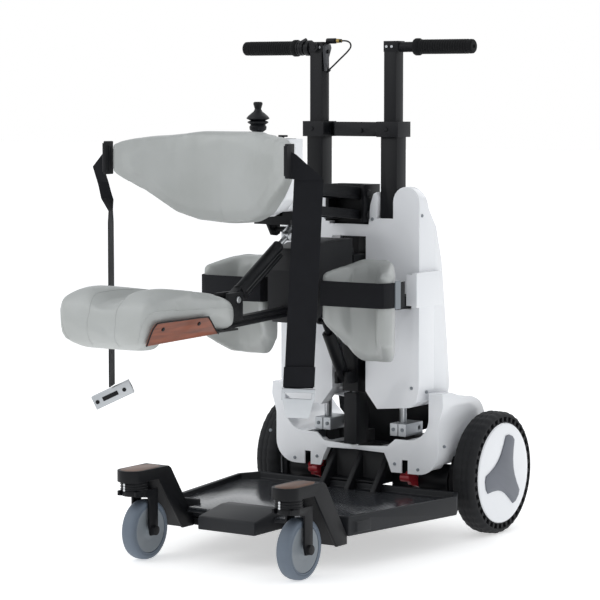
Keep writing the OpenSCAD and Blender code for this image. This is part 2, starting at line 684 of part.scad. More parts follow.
// One upright slab of the chest pad
module pad_slab(x, t, z0, z1) translate([x, pad_y(x) + t / 2, (z0 + z1) / 2]) cube([10, t, z1 - z0], center = true);
pad_stations = [
  [0, 52, 696, 889], [60, 50, 700, 889], [105, 46, 716, 881], [155, 40, 757, 876], [190, 32, 783, 868],
  [209, 22, 800, 860]
];
module chest_pad() color("lightgray") placed() both() for (i = [0:len(pad_stations) - 2]) hull() {
  pad_slab(pad_stations[i][0], pad_stations[i][1], pad_stations[i][2], pad_stations[i][3]);
  pad_slab(pad_stations[i + 1][0], pad_stations[i + 1][1], pad_stations[i + 1][2], pad_stations[i + 1][3]);
}
module pad_back_shell() color("white") placed() {
  front_from(68.5, 112) polygon([
    [-62, 712], [62, 712], [92, 726], [112, 750], [112, 862], [-112, 862], [-112, 750], [-92, 726]]);
  block([-70, 112, 720], [70, 180, 799]);
}

// ---------- belts ----------
// The right belt hangs with its face turned 34 degrees to the side, leaning a little inwards
module belt_line() translate([214, -78, 0]) rotate([0, 0, 34]) children();
module belt_hang() belt_line() translate([16, 0, 797]) rotate([0, belt_lean, 0]) translate([0, 0, -797]) children();
module belt_right() color("black") placed() {
  belt_hang() block([0, 0, 392], [belt_w, 3, 797]);
  belt_line() block([14, 0, 780], [44, 3, 826]);
}
module belt_left() color("black") placed() {
  translate([-219, -70, 0]) rotate([0, 0, 118]) block([-belt_w / 2, -1.5, 365.6], [belt_w / 2, 1.5, 797.8]);
}
module belt_hardware() color("silver") placed() {
  // Latch plate on the right belt
  belt_hang() {
    block([-4, -4, 384], [belt_w + 4, 7, 391.6]);
    block([-4, -2, 368], [3, 4, 386]);
    block([belt_w - 3, -2, 368], [belt_w + 4, 4, 386]);
    translate([0, 4, 0]) rotate([90, 0, 0]) linear_extrude(6)
      polygon([[-2, 372], [belt_w + 2, 372], [belt_w - 6, 334], [6, 334]]);
  }
  // Buckle on the left belt
  translate([-219, -70, 350]) rotate([0, 0, 36]) rotate([0, -25, 0]) block([-42, -11, -16], [42, 11, 12]);
  // End brackets on the pad's wings
  both() translate([219, -70, 0]) block([-1, -16, 798], [5, 6, 862]);
}
module console_switch() color("black") placed() {
  translate([toggle[0], toggle[1], 862]) cylinder(h = 10, r = 2.6);
  translate([toggle[0], toggle[1], 872]) block([-10, -3, 0], [10, 3, 4]);
}
// Profile of the stick, its bellows and knob as [radius, height above the pivot]
module joystick() color("black") placed() translate(stick) difference() {
  rotate_extrude() polygon([
    [0, 6], [6, 6], [18, 12], [18, 18], [15, 23], [21.5, 26.5], [21.5, 28.5], [15, 31], [23.5, 34.5], [22, 38],
    [13, 46], [9, 49], [6.5, 54], [9.5, 64], [9.5, 67], [8, 69], [0, 69]]);
  translate([0, 0, 5]) cylinder(h = 3, r = 3.5);
}
module joystick_gimbal() color("dimgray") placed() translate([stick[0], stick[1], 856]) {
  cylinder(h = 14, r = 10);
  cylinder(h = 20, r = 3);
}

foot_tray();
tray_mat();
heel_guard();
caster_arm_left();
caster_arm_right();
arm_inlays();
base_frame();
base_shell();
guide_rods();
rod_clamps();
lift_drive();
lift_screw();
drive_units();
battery_pack();
wheel_tyre_left();
wheel_tyre_right();
wheel_hub_left();
wheel_hub_right();
caster_fork_left();
caster_fork_right();
caster_tyre_left();
caster_tyre_right();
caster_hub_left();
caster_hub_right();
release_lever_left();
release_lever_right();
column_front_shell();
column_rear_shell();
column_spine();
outer_masts();
mast_clamp();
knee_pad_left();
knee_pad_right();
knee_straps();
inner_mast_left();
inner_mast_right();
grip_left();
grip_right();
brake_lever();
brake_cable();
hub_housing();
seat_rail();
seat_cushion();
seat_side_panels();
strut_tube();
strut_rod();
actuator_tube();
actuator_rod();
arm_upper();
arm_lower();
carrier();
console_housing();
pad_back_shell();
chest_pad();
belt_right();
belt_left();
belt_hardware();
console_switch();
joystick();
joystick_gimbal();
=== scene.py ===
"""Looks of a powered sit-to-stand lift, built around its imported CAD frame."""

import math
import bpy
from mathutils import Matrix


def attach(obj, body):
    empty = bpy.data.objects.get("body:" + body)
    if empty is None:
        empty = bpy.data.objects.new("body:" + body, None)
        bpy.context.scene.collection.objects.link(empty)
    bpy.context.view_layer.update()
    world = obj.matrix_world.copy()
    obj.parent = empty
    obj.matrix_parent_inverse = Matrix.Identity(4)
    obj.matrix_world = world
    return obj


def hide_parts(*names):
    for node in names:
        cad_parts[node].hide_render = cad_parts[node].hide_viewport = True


bl_info = {
    "name": "Sit-to-Stand Lift",
    "version": (1, 0, 0),
    "blender": (4, 5, 0),
    "location": "3D View > Sidebar > Stand Lift",
    "description": "Builds a powered sit-to-stand lift with padded supports, belts and wheels",
    "category": "Add Mesh",
}

import bmesh
import bpy
from bpy.props import FloatProperty, FloatVectorProperty, IntProperty, PointerProperty
from mathutils import Matrix, Vector
from mathutils.bvhtree import BVHTree

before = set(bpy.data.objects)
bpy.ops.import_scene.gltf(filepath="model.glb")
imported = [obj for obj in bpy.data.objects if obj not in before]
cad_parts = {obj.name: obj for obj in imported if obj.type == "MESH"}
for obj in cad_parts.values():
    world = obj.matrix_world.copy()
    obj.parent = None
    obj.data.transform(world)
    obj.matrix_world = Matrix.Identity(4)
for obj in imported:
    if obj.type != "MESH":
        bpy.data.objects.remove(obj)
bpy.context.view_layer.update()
# Distance from the caster axles to the middle of the footprint
MID = 0.205
SETTLE_FRAMES = 20
# Half the width of the belts, and the turn of each about the vertical, in degrees
BELT_HALF = 0.0285
RIGHT_BELT_TURN = 34
LEFT_BELT_TURN = 118
# Radius beyond which a drive tyre is wavy, and the depth of its waves
TREAD_START = 0.1275
TREAD_DEPTH = 0.0009
# Rear end of the seat's panels, and how far the left one is sunk and shortened
PANEL_REAR = -146
LEFT_SINK = 0.007
LEFT_LENGTH = 0.88


def at(x, y, z):
    """A point given in millimetres from the caster axles, in metres from the object's origin."""
    return Vector((x / 1000, y / 1000 - MID, z / 1000))


# ---------------------------------------------------------------- finishes
def tone(code):
    """A linear colour from six hexadecimal digits."""
    parts = [int(code[i:i + 2], 16) / 255 for i in (0, 2, 4)]
    return [c / 12.92 if c <= 0.04045 else ((c + 0.055) / 1.055) ** 2.4 for c in parts] + [1.0]


def finish(name, colour, worn, rough, spread=0.08, metal=0.0, coat=0.0, sheen=0.0, pattern="NOISE",
           scale=300.0, stretch=(1, 1, 1), bump=0.2, depth=0.0004, patch=7.0, shine=0.5):
    """A procedural finish: patchy colour, uneven gloss and a fine relief, on Object coordinates."""
    found = bpy.data.materials.get("finish_" + name)
    if found:
        return found
    mat = bpy.data.materials.new("finish_" + name)
    mat.use_nodes = True
    tree = mat.node_tree
    shader = tree.nodes["Principled BSDF"]
    link = tree.links.new
    place = tree.nodes.new("ShaderNodeTexCoord")
    turn = tree.nodes.new("ShaderNodeMapping")
    turn.inputs["Scale"].default_value = stretch
    link(place.outputs["Object"], turn.inputs["Vector"])
    blotch = tree.nodes.new("ShaderNodeTexNoise")
    blotch.inputs["Scale"].default_value = patch
    blotch.inputs["Detail"].default_value = 5
    link(turn.outputs["Vector"], blotch.inputs["Vector"])
    ramp = tree.nodes.new("ShaderNodeValToRGB")
    ramp.color_ramp.elements[0].position = 0.32
    ramp.color_ramp.elements[0].color = tone(worn)
    ramp.color_ramp.elements[1].position = 0.68
    ramp.color_ramp.elements[1].color = tone(colour)
    link(blotch.outputs["Fac"], ramp.inputs["Fac"])
    link(ramp.outputs["Color"], shader.inputs["Base Color"])
    if pattern == "CELLS":
        fine = tree.nodes.new("ShaderNodeTexVoronoi")
        fine.inputs["Scale"].default_value = scale
        height = fine.outputs["Distance"]
    elif pattern in ("BANDS", "WEAVE"):
        fine = tree.nodes.new("ShaderNodeTexWave")
        fine.bands_direction = "Z" if pattern == "WEAVE" else "X"
        fine.inputs["Scale"].default_value = scale
        fine.inputs["Distortion"].default_value = 0.4
        height = fine.outputs["Fac"]
    else:
        fine = tree.nodes.new("ShaderNodeTexNoise")
        fine.inputs["Scale"].default_value = scale
        fine.inputs["Detail"].default_value = 4
        height = fine.outputs["Fac"]
    link(turn.outputs["Vector"], fine.inputs["Vector"])
    if pattern == "WEAVE":
        cross = tree.nodes.new("ShaderNodeTexWave")
        cross.bands_direction = "DIAGONAL"
        cross.inputs["Scale"].default_value = scale * 0.8
        link(turn.outputs["Vector"], cross.inputs["Vector"])
        both = tree.nodes.new("ShaderNodeMath")
        both.operation = "MULTIPLY"
        link(height, both.inputs[0])
        link(cross.outputs["Fac"], both.inputs[1])
        height = both.outputs["Value"]
    relief = tree.nodes.new("ShaderNodeBump")
    relief.inputs["Strength"].default_value = bump
    relief.inputs["Distance"].default_value = depth
    link(height, relief.inputs["Height"])
    link(relief.outputs["Normal"], shader.inputs["Normal"])
    gloss = tree.nodes.new("ShaderNodeMapRange")
    gloss.inputs["To Min"].default_value = max(0.02, rough - spread)
    gloss.inputs["To Max"].default_value = min(1.0, rough + spread)
    link(blotch.outputs["Fac"], gloss.inputs["Value"])
    link(gloss.outputs["Result"], shader.inputs["Roughness"])
    shader.inputs["Metallic"].default_value = metal
    shader.inputs["Specular IOR Level"].default_value = shine
    shader.inputs["Coat Weight"].default_value = coat
    shader.inputs["Coat Roughness"].default_value = 0.08
    shader.inputs["Sheen Weight"].default_value = sheen
    return mat


def leather():
    return finish("pad_leather", "aeb1b0", "a5a8a6", 0.42, 0.06, coat=0.06, pattern="CELLS", scale=620,
                  bump=0.16, depth=0.0004, patch=9)


def white():
    return finish("white_gloss", "eff1f4", "e9ebef", 0.22, 0.05, coat=0.5, scale=420, bump=0.03,
                  depth=0.0002, patch=3)


def paint():
    return finish("frame_black", "111215", "0c0d10", 0.42, 0.08, shine=0.18, scale=900, bump=0.14,
                  depth=0.0003)


def black():
    return finish("black_plastic", "141518", "101114", 0.45, 0.08, shine=0.22, scale=1300, bump=0.2,
                  depth=0.0003)


def tray_paint():
    return finish("tray_grey", "1b1d21", "15171a", 0.5, 0.08, shine=0.3, scale=700, bump=0.2, depth=0.0003)


def steel():
    return finish("bright_steel", "c6c8ca", "b2b5b8", 0.28, 0.09, metal=1.0, scale=90, bump=0.05)


def cast():
    return finish("cast_silver", "c6c9cc", "acb0b4", 0.42, 0.08, metal=0.7, scale=800, bump=0.16,
                  depth=0.0003)


def rubber():
    return finish("drive_tyre", "191a1d", "141517", 0.7, 0.08, shine=0.3, scale=500, bump=0.25,
                  depth=0.0004)


def grey_rubber():
    return finish("caster_rubber", "687380", "59636f", 0.6, 0.08, scale=600, bump=0.2, depth=0.0003)


def foam():
    return finish("foam_grip", "131416", "0f1011", 0.85, 0.06, sheen=0.05, shine=0.15, pattern="CELLS",
                  scale=1200, bump=0.4, depth=0.0004)


def webbing():
    return finish("webbing", "17181c", "121317", 0.8, 0.08, sheen=0.08, shine=0.15, pattern="WEAVE",
                  scale=260, bump=0.6, depth=0.0006, patch=30)


def red():
    return finish("red_plastic", "a3222c", "861a23", 0.4, 0.08, coat=0.2, scale=700, bump=0.12,
                  depth=0.0003)


def grey():
    return finish("grey_plastic", "848b91", "767c82", 0.5, 0.08, scale=800, bump=0.16, depth=0.0003)


def dark_wood():
    return finish("dark_wood", "8a472a", "66311b", 0.44, 0.08, coat=0.2, scale=55, stretch=(9, 0.9, 9),
                  bump=0.25, depth=0.0004, patch=14)


def light_wood():
    return finish("light_wood", "7d5a45", "5f4232", 0.5, 0.08, coat=0.1, scale=55, stretch=(9, 0.9, 9),
                  bump=0.25, depth=0.0004, patch=14)


def mat_rubber():
    return finish("mat_rubber", "3c3e42", "323438", 0.16, 0.06, shine=1.0, pattern="BANDS", scale=36,
                  bump=0.3, depth=0.0008, patch=5)


# ---------------------------------------------------------------- mesh helpers
def piece(name, bm, material, body, angle=34, stands_for=()):
    """Turns a bmesh into a finished piece that rides on a body."""
    bmesh.ops.recalc_face_normals(bm, faces=bm.faces)
    mesh = bpy.data.meshes.new(name)
    bm.to_mesh(mesh)
    bm.free()
    for face in mesh.polygons:
        face.use_smooth = True
    mesh.set_sharp_from_angle(angle=math.radians(angle))
    mesh.materials.append(material)
    obj = bpy.data.objects.new(name, mesh)
    bpy.context.scene.collection.objects.link(obj)
    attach(obj, body)
    if stands_for:
        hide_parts(*stands_for)
    return obj


def merged(node):
    """A merged copy of a CAD node's mesh, with its flat faces whole again."""
    bm = bmesh.new()
    bm.from_mesh(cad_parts[node].data)
    bmesh.ops.remove_doubles(bm, verts=bm.verts, dist=2e-6)
    bmesh.ops.dissolve_limit(bm, angle_limit=math.radians(0.6), verts=bm.verts, edges=bm.edges)
    return bm


def rounded(node, material, body, width=0.0015, segments=2, angle=26):
    """A CAD node with its hard edges rounded off."""
    bm = merged(node)
    hard = [e for e in bm.edges if e.is_manifold and e.calc_face_angle(0) > math.radians(angle)]
    bmesh.ops.bevel(bm, geom=hard, offset=width, offset_type="OFFSET", affect="EDGES", segments=segments,
                    profile=0.5, material=-1, clamp_overlap=True, loop_slide=True)
    return piece(node + "_looks", bm, material, body, stands_for=(node,))


def add_box(bm, low, high, width=0.0, segments=2):
    """A box between two corners, with rounded edges."""
    made = bmesh.ops.create_cube(bm, size=1)["verts"]
    size = high - low
    bmesh.ops.scale(bm, vec=size, verts=made)
    bmesh.ops.translate(bm, vec=(low + high) / 2, verts=made)
    if width:
        edges = list({e for v in made for e in v.link_edges})
        bmesh.ops.bevel(bm, geom=edges, offset=width, offset_type="OFFSET", affect="EDGES", segments=segments,
                        profile=0.5, material=-1)


def add_rod(bm, start, end, radius, radius2=None, sides=24):
    """A closed round rod between two points."""
    along = end - start
    turn = Vector((0, 0, 1)).rotation_difference(along).to_matrix().to_4x4()
    bmesh.ops.create_cone(bm, cap_ends=True, segments=sides, radius1=radius,
                          radius2=radius if radius2 is None else radius2, depth=along.length,
                          matrix=Matrix.Translation((start + end) / 2) @ turn)


def add_lathe(bm, profile, centre, axis="X", steps=48):
    """A turned shape. The profile gives (distance along the axis, radius) in millimetres."""
    way = {"X": Vector((1, 0, 0)), "Z": Vector((0, 0, 1))}[axis]
    out = Vector((0, 0, 1)) if axis == "X" else Vector((1, 0, 0))
    verts = [bm.verts.new(centre + way * (a / 1000) + out * (r / 1000)) for a, r in profile]
    edges = [bm.edges.new(pair) for pair in zip(verts, verts[1:])]
    bmesh.ops.spin(bm, geom=verts + edges, cent=centre, axis=way, angle=math.tau, steps=steps,
                   use_merge=True, use_duplicate=False)
    bmesh.ops.remove_doubles(bm, verts=bm.verts, dist=1e-6)


def add_ribbon(bm, pairs, thick):
    """A flat strap. Each pair gives the two edges of the strap at one station."""
    rows = []
    for left, right in pairs:
        row = [bm.verts.new(left.lerp(right, i / 6)) for i in range(7)]
        rows.append(row)
    faces = []
    for a, b in zip(rows, rows[1:]):
        for i in range(6):
            faces.append(bm.faces.new((a[i], a[i + 1], b[i + 1], b[i])))
    bmesh.ops.recalc_face_normals(bm, faces=faces)
    bmesh.ops.solidify(bm, geom=faces, thickness=thick)


def smooth_path(points, parts=6):
    """Points on a smooth curve through the given points."""
    ends = [points[0]] + list(points) + [points[-1]]
    out = []
    for i in range(1, len(ends) - 2):
        a, b, c, d = ends[i - 1:i + 3]
        for k in range(parts):
            t = k / parts
            out.append(0.5 * (2 * b + (c - a) * t + (2 * a - 5 * b + 4 * c - d) * t * t
                              + (3 * b - a - 3 * c + d) * t * t * t))
    return out + [points[-1]]


def tube(name, points, radius, material, body, sides=3, stands_for=()):
    """A round tube along points, closed at its ends."""
    curve = bpy.data.curves.new(name, "CURVE")
    curve.dimensions = "3D"
    curve.bevel_depth = radius
    curve.bevel_resolution = sides
    curve.use_fill_caps = True
    spline = curve.splines.new("POLY")
    spline.points.add(len(points) - 1)
    for spot, p in zip(spline.points, points):
        spot.co = (p.x, p.y, p.z, 1)
    holder = bpy.data.objects.new(name + "_curve", curve)
    bpy.context.scene.collection.objects.link(holder)
    bm = bmesh.new()
    bm.from_mesh(bpy.data.meshes.new_from_object(holder.evaluated_get(bpy.context.evaluated_depsgraph_get())))
    bpy.data.objects.remove(holder)
    bmesh.ops.remove_doubles(bm, verts=bm.verts, dist=1e-6)
    return piece(name, bm, material, body, angle=60, stands_for=stands_for)


def padded(node, material, body, cap, rounds, voxel=0.005):
    """A padded piece: the CAD solid remeshed, eased at its edges, then swelled by cloth under pressure."""
    scene = bpy.context.scene
    bm = merged(node)
    mesh = bpy.data.meshes.new(node + "_pad")
    bm.to_mesh(mesh)
    bm.free()
    obj = bpy.data.objects.new(node + "_pad", mesh)
    scene.collection.objects.link(obj)
    remesh = obj.modifiers.new("Remesh", "REMESH")
    remesh.mode = "VOXEL"
    remesh.voxel_size = voxel
    even = bpy.data.meshes.new_from_object(obj.evaluated_get(bpy.context.evaluated_depsgraph_get()))
    obj.modifiers.clear()
    bm = bmesh.new()
    bm.from_mesh(even)
    for _ in range(rounds):
        bmesh.ops.smooth_vert(bm, verts=bm.verts, factor=0.5, use_axis_x=True, use_axis_y=True, use_axis_z=True)
    bm.to_mesh(even)
    bm.free()
    obj.data = even
    rest = [v.co.copy() for v in even.vertices]
    cloth = obj.modifiers.new("Cloth", "CLOTH")
    cloth.settings.quality = 4
    cloth.settings.mass = 0.2
    cloth.settings.use_pressure = True
    cloth.settings.uniform_pressure_force = 4
    cloth.settings.effector_weights.gravity = 0
    for step in range(1, SETTLE_FRAMES + 1):
        scene.frame_set(step)
    swelled = obj.evaluated_get(bpy.context.evaluated_depsgraph_get()).data
    moved = [v.co.copy() for v in swelled.vertices]
    scene.frame_set(1)
    obj.modifiers.clear()
    for v, before, after in zip(even.vertices, rest, moved):
        step = after - before
        if step.length > cap:
            step = step * (cap / step.length)
        v.co = before + step
    bm = bmesh.new()
    bm.from_mesh(even)
    for _ in range(2):
        bmesh.ops.smooth_vert(bm, verts=bm.verts, factor=0.4, use_axis_x=True, use_axis_y=True, use_axis_z=True)
    bpy.data.objects.remove(obj)
    pad = piece(node + "_padded", bm, material, body, angle=180, stands_for=(node,))
    pad.modifiers.new("Round", "SUBSURF")
    pad.modifiers["Round"].levels = 1
    pad.modifiers["Round"].render_levels = 1
    return pad


def seam(name, pad, guide, radius, material, body, sink=0.35):
    """A sewn seam that follows the pad's surface near the guide points."""
    bm = bmesh.new()
    bm.from_mesh(pad.data)
    tree = BVHTree.FromBMesh(bm)
    bm.free()
    line = []
    for p in smooth_path(guide, 8):
        spot, normal, _, _ = tree.find_nearest(p)
        line.append(spot - normal * radius * sink)
    return tube(name, line, radius, material, body, sides=2)


def add_screw(bm, spot, way, radius, tall=0.0022):
    """A round screw head with a bevelled top, facing along way."""
    add_rod(bm, spot - way * 0.001, spot + way * tall * 0.6, radius, sides=20)
    add_rod(bm, spot + way * tall * 0.6, spot + way * tall, radius, radius * 0.8, sides=20)


def both_sides():
    """The sign of X and the name of each side."""
    return ((1, "right"), (-1, "left"))


def heading(degrees):
    """A level direction turned from +X towards +Y."""
    return Vector((math.cos(math.radians(degrees)), math.sin(math.radians(degrees)), 0))


def side_bolts(name, x, spots, radius, material, body):
    """Bolt heads on both flanks, at each (y, z) spot."""
    bm = bmesh.new()
    for s, _ in both_sides():
        for y, z in spots:
            add_screw(bm, at(s * x, y, z), Vector((s, 0, 0)), radius, 0.004)
    piece(name, bm, material, body)


# ---------------------------------------------------------------- settings
class StandLiftSizes(bpy.types.PropertyGroup):
    """Sizes of the soft parts and details"""

    pad_swell: FloatProperty(name="Pad Swell", description="How far the pads may swell over their boards",
                             default=0.006, min=0.001, max=0.012, unit="LENGTH")
    belt_thickness: FloatProperty(name="Belt Thickness", description="Thickness of the webbing",
                                  default=0.0022, min=0.001, max=0.004, unit="LENGTH")
    edge_round: FloatProperty(name="Edge Rounding", description="Rounding of the frame's edges",
                              default=0.0015, min=0.0005, max=0.003, unit="LENGTH")
    shell_round: FloatProperty(name="Shell Rounding", description="Rounding of the moulded shells' edges",
                               default=0.006, min=0.001, max=0.01, unit="LENGTH")
    tyre_cells: IntProperty(name="Tyre Cells", description="Number of holes round each drive tyre",
                            default=38, min=20, max=60)


class StandLiftColours(bpy.types.PropertyGroup):
    """Colours of the surroundings"""

    floor: FloatVectorProperty(name="Floor", description="Colour of the studio floor", subtype="COLOR",
                               size=3, default=(0.92, 0.92, 0.92), min=0, max=1)


# ---------------------------------------------------------------- pieces
class STANDLIFT_OT_chest_pad(bpy.types.Operator):
    """Chest pad, its white back shell and the console behind it"""

    bl_idname = "stand_lift.chest_pad"
    bl_label = "Chest Pad and Console"

    def execute(self, context):
        sizes = context.scene.stand_lift_sizes
        pad = padded("chest_pad", leather(), "chest_carrier", sizes.pad_swell * 0.8, 16)
        guide = [at(x, 66 - 98 * (x / 211) ** 2, z) for x, z in
                 ((-205, 852), (-150, 876), (-60, 890), (0, 892), (60, 890), (150, 876), (205, 852))]
        seam("chest_pad_seam", pad, guide, 0.0011, leather(), "chest_carrier")
        rounded("pad_back_shell", white(), "chest_carrier", 0.007, 3)
        rounded("console_housing", white(), "chest_carrier", 0.005, 3)
        bm = bmesh.new()
        for x, z in ((-104, 850), (104, 850), (-84, 745), (84, 745)):
            add_screw(bm, at(x, 112.5, z), Vector((0, 1, 0)), 0.004)
        for x in (-80, 80):
            add_screw(bm, at(x, 160.3, 834), Vector((0, 1, 0)), 0.0045)
        piece("console_screws", bm, steel(), "chest_carrier")
        bm = bmesh.new()
        add_box(bm, at(-82, 120, 867.2), at(-32, 152, 868.8), 0.0008)
        add_box(bm, at(34, 132, 867.2), at(84, 152, 868.8), 0.0008)
        piece("console_panels", bm, grey(), "chest_carrier")
        bm = bmesh.new()
        profile = [(4.5, 0), (4.5, 6), (9, 13), (12, 17), (18, 17.8), (22, 15), (26, 21.2), (28.4, 21.2),
                   (30.5, 15.2), (34, 23.4), (36.5, 23), (40, 20), (43, 16.5), (46, 13), (49, 9), (54, 6.6),
                   (59, 8), (64, 9.6), (67, 9.2), (68.6, 7), (68.8, 0)]
        add_lathe(bm, profile, at(0, 136, 874), "Z", 40)
        piece("joystick_looks", bm, black(), "stick", stands_for=("joystick",))
        rounded("joystick_gimbal", grey(), "stick_gimbal", 0.0008)
        rounded("console_switch", black(), "console_toggle", 0.0008)
        return {"FINISHED"}


class STANDLIFT_OT_seat(bpy.types.Operator):
    """Saddle seat with its wooden side panels and rail"""

    bl_idname = "stand_lift.seat"
    bl_label = "Saddle Seat"

    def execute(self, context):
        sizes = context.scene.stand_lift_sizes
        pad = padded("seat_cushion", leather(), "lift_hub", sizes.pad_swell, 14)
        for s, side in both_sides():
            guide = [at(s * 32, -370, 480), at(s * 32, -398, 524), at(s * 32, -386, 566),
                     at(s * 33, -345, 592), at(s * 34, -200, 592), at(s * 32, -120, 578),
                     at(s * 30, -60, 560), at(s * 26, -16, 524)]
            seam("seat_seam_" + side, pad, guide, 0.0012, leather(), "lift_hub")
            guide = [at(s * 84, -388, 484), at(s * 92, -394, 508), at(s * 106, -386, 540),
                     at(s * 122, -362, 557), at(s * 126, -250, 557), at(s * 126, -180, 552),
                     at(s * 112, -90, 540)]
            seam("seat_side_seam_" + side, pad, guide, 0.001, leather(), "lift_hub")
        panels = rounded("seat_side_panels", dark_wood(), "lift_hub", 0.001)
        # The left panel is a little shorter and sits deeper in the leather
        rear = at(0, PANEL_REAR, 0).y
        for v in panels.data.vertices:
            if v.co.x < 0:
                v.co.x += LEFT_SINK
                v.co.y = rear + (v.co.y - rear) * LEFT_LENGTH

        def on_panel(s, y, drop):
            """A point on a panel's outer face, at a drop measured down its lean."""
            along = y if s > 0 else PANEL_REAR + (y - PANEL_REAR) * LEFT_LENGTH
            return at(s * (120.2 + s * 3.5 + 0.438 * drop), along, 539.4 + 0.899 * drop)

        bm = bmesh.new()
        for s, _ in both_sides():
            for y, drop in ((-340, -19), (-228, -17)):
                add_screw(bm, on_panel(s, y, drop), Vector((s * 0.899, 0, -0.438)), 0.004)
        piece("panel_screws", bm, black(), "lift_hub")
        for s, side in both_sides():
            edge = [on_panel(s, y, drop) for y, drop in (
                (-371, -53), (-372, -20), (-368, -9), (-358, -4), (-290, -4), (-212, -4), (-198, -9),
                (-160, -38), (-146, -47))]
            tube("panel_trim_" + side, smooth_path(edge, 4), 0.0014, black(), "lift_hub", 2)
        rounded("seat_rail", paint(), "lift_hub", sizes.edge_round)
        return {"FINISHED"}


class STANDLIFT_OT_knees(bpy.types.Operator):
    """Knee cups and their straps"""

    bl_idname = "stand_lift.knees"
    bl_label = "Knee Cups"

    def execute(self, context):
        sizes = context.scene.stand_lift_sizes
        for s, side in both_sides():
            padded("knee_pad_" + side, leather(), "column", sizes.pad_swell * 0.8, 12)
        bm = bmesh.new()
        for s, _ in both_sides():
            plan = [(76, 318), (71, 290), (70, 262), (76, 252), (92, 248), (150, 247), (214, 249), (230, 254),
                    (235.5, 268), (236, 300), (234, 330)]
            pairs = [(at(s * x, y, 521), at(s * x, y, 573)) for x, y in plan]
            add_ribbon(bm, pairs, sizes.belt_thickness)
        piece("knee_straps_looks", bm, webbing(), "column", stands_for=("knee_straps",))
        bm = bmesh.new()
        for s, _ in both_sides():
            add_ribbon(bm, [(at(s * 238.6, y, 518), at(s * 238.6, y, 576)) for y in (286, 292, 300, 306)],
                       sizes.belt_thickness)
        piece("knee_strap_loops", bm, grey(), "column")
        bm = bmesh.new()
        for s, _ in both_sides():
            ends = sorted((s * 116, s * 182))
            add_box(bm, at(ends[0], 355, 420), at(ends[1], 364, 590), 0.004, 3)
        piece("knee_back_shells", bm, white(), "column")
        return {"FINISHED"}


class STANDLIFT_OT_belts(bpy.types.Operator):
    """Two-part chest belt with its buckle and latch plate"""

    bl_idname = "stand_lift.belts"
    bl_label = "Chest Belt"

    def execute(self, context):
        thick = context.scene.stand_lift_sizes.belt_thickness
        across = heading(RIGHT_BELT_TURN)
        bm = bmesh.new()

        def hang(z, out=0.0):
            """Middle of the right belt at a height, moved out from its face."""
            reach = 44.5 + (z - 797) * 0.0489
            return at(213.2 + 0.829 * reach + 0.559 * out, -76.8 + 0.559 * reach - 0.829 * out, z)

        for out, half, heights in ((0, BELT_HALF, (795, 700, 600, 500, 430, 391)),
                                   (3.4, 0.0305, (433, 430, 394))):
            pairs = [(hang(z, out) - across * half, hang(z, out) + across * half) for z in heights]
            add_ribbon(bm, pairs, thick)
        flap = [(at(220, -80, 852), at(220, -80, 797)), (at(232, -68, 843), at(231, -68, 795)),
                (at(250, -55, 823), at(250, -55, 794)), (at(273, -38.5, 799), at(272, -39, 794))]
        add_ribbon(bm, flap, thick)
        piece("belt_right_looks", bm, webbing(), "chest_carrier", stands_for=("belt_right",))
        bm = bmesh.new()
        edge = heading(LEFT_BELT_TURN)
        near = at(-219, -70, 0)
        pairs = [(at(-216, -80, 856), at(-216, -80, 803)), (at(-255, -84, 812), at(-224, -84, 802)),
                 (at(-246, -80, 780), at(-226, -70, 780)), (at(-236, -80, 749), at(-219, -62, 745))]
        for z, spread in ((724, 0.020), (700, 0.0275), (600, BELT_HALF), (500, BELT_HALF), (366, BELT_HALF)):
            spot = near + Vector((0, 0, z / 1000))
            pairs.append((spot - edge * spread, spot + edge * spread))
        add_ribbon(bm, pairs, thick)
        piece("belt_left_looks", bm, webbing(), "chest_carrier", stands_for=("belt_left",))
        rounded("belt_hardware", cast(), "chest_carrier", 0.0022, 3)
        bm = bmesh.new()
        turn = (Matrix.Translation(at(-219, -70, 350)) @ Matrix.Rotation(math.radians(36), 4, "Z")
                @ Matrix.Rotation(math.radians(-25), 4, "Y"))
        add_box(bm, Vector((-0.022, -0.012, -0.006)), Vector((0.012, -0.0105, 0.003)), 0.0006)
        for x in (-0.034, 0.026):
            add_rod(bm, Vector((x, -0.012, -0.002)), Vector((x, -0.0105, -0.002)), 0.0042)
        add_rod(bm, Vector((0.0425, 0, -0.002)), Vector((0.041, 0, -0.002)), 0.007)
        bmesh.ops.transform(bm, matrix=turn, verts=bm.verts)
        piece("buckle_slots", bm, black(), "chest_carrier")
        bm = bmesh.new()
        for s, _ in both_sides():
            ends = sorted((s * 217.4, s * 225))
            add_box(bm, at(ends[0], -87.4, 797), at(ends[1], -63, 864), 0.002, 3)
            add_rod(bm, at(s * 221.2, -88, 802), at(s * 221.2, -88, 860), 0.0042)
        piece("belt_anchors", bm, black(), "chest_carrier")
        return {"FINISHED"}


class STANDLIFT_OT_column(bpy.types.Operator):
    """Glossy column shells with the masts inside"""

    bl_idname = "stand_lift.column"
    bl_label = "Column"

    def execute(self, context):
        sizes = context.scene.stand_lift_sizes
        rounded("column_front_shell", white(), "column", sizes.shell_round, 4)
        rounded("column_rear_shell", white(), "column", sizes.shell_round, 4)
        rounded("column_spine", paint(), "column", sizes.edge_round)
        rounded("outer_masts", paint(), "column", sizes.edge_round)
        rounded("mast_clamp", black(), "column", 0.0025, 3)
        bm = bmesh.new()
        for s, _ in both_sides():
            for y, z in ((490, 700), (512, 320)):
                add_screw(bm, at(s * 178.2, y, z), Vector((s, 0, 0)), 0.0035)
            for x, z in ((60, 690), (160, 330)):
                add_screw(bm, at(s * x, 479.6, z), Vector((0, -1, 0)), 0.0035)
        piece("column_screws", bm, grey(), "column")
        bm = bmesh.new()
        for s, _ in both_sides():
            add_screw(bm, at(s * 95 - 4, 481.6, 883), Vector((0, -1, 0)), 0.005)
        piece("clamp_bolts", bm, black(), "column")
        return {"FINISHED"}


